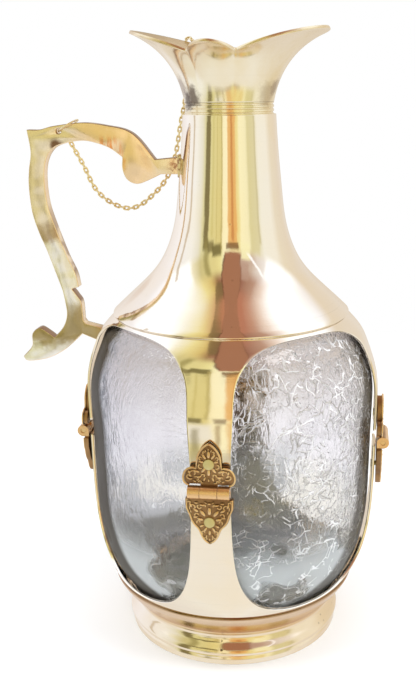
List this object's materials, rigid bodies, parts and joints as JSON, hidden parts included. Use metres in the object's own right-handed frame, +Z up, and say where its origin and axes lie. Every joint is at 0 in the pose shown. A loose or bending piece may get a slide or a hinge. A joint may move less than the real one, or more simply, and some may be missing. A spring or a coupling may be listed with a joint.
{
  "type": "brass jug",
  "caption": "Tall brass pouring jug: glass body in a riveted brass cage, lobed trumpet mouth, S-shaped cast handle and a chained stopper.",
  "frame": {"origin": "centre of the foot's rest plane", "axes": "+Z up along the jug's axis, +X towards the pouring side, handle on -X, one cage strap facing -Y"},
  "size_m": [0.1874, 0.1586, 0.2973],
  "materials": {
    "neck_brass": "polished",
    "cage_brass": "polished",
    "foot_brass": "satin",
    "collar_bronze": "satin",
    "handle_brass": "satin",
    "hinge_brass": "antique",
    "chain_brass": "satin",
    "crackle_glass": "crackled, clear",
    "cork": "cork",
    "felt": "felt"
  },
  "bodies": {
    "root": {"base_disc": "cage_brass", "chain_handle_side": "chain_brass", "chain_stopper_side": "chain_brass", "foot_collar": "collar_bronze", "foot_ring": "foot_brass", "glass_pad": "felt", "glass_vessel": "crackle_glass", "handle": "handle_brass", "handle_collar": "handle_brass", "hinge_lower_leaf_back": "hinge_brass", "hinge_lower_leaf_front": "hinge_brass", "hinge_lower_leaf_handle_side": "hinge_brass", "hinge_lower_leaf_spout_side": "hinge_brass", "hinge_pin_back": "hinge_brass", "hinge_pin_front": "hinge_brass", "hinge_pin_handle_side": "hinge_brass", "hinge_pin_spout_side": "hinge_brass", "hinge_rivets": "hinge_brass", "hinge_upper_leaf_back": "hinge_brass", "hinge_upper_leaf_front": "hinge_brass", "hinge_upper_leaf_handle_side": "hinge_brass", "hinge_upper_leaf_spout_side": "hinge_brass", "lower_cage": "cage_brass", "mouth_funnel": "neck_brass", "neck_bell": "neck_brass", "neck_ring": "neck_brass", "neck_seal": "cork", "upper_cage": "cage_brass"},
    "stopper": {"stopper_cap": "neck_brass", "stopper_cork": "cork", "stopper_washer": "cage_brass", "stopper_eye": "chain_brass"},
    "ring": {"jump_ring": "chain_brass"}
  },
  "joints": [
    {"name": "stopper_lift", "type": "slide", "parent": "root", "child": "stopper", "axis": [0, 0, 1], "range_m": [0, 0.055], "deforming": ["chain_stopper_side"]},
    {"name": "ring_swing", "type": "hinge", "parent": "root", "child": "ring", "pos_m": [-0.08263, 0, 0.25155], "axis": [0, -1, 0], "range_deg": [0, 60], "deforming": ["chain_handle_side"]}
  ]
}
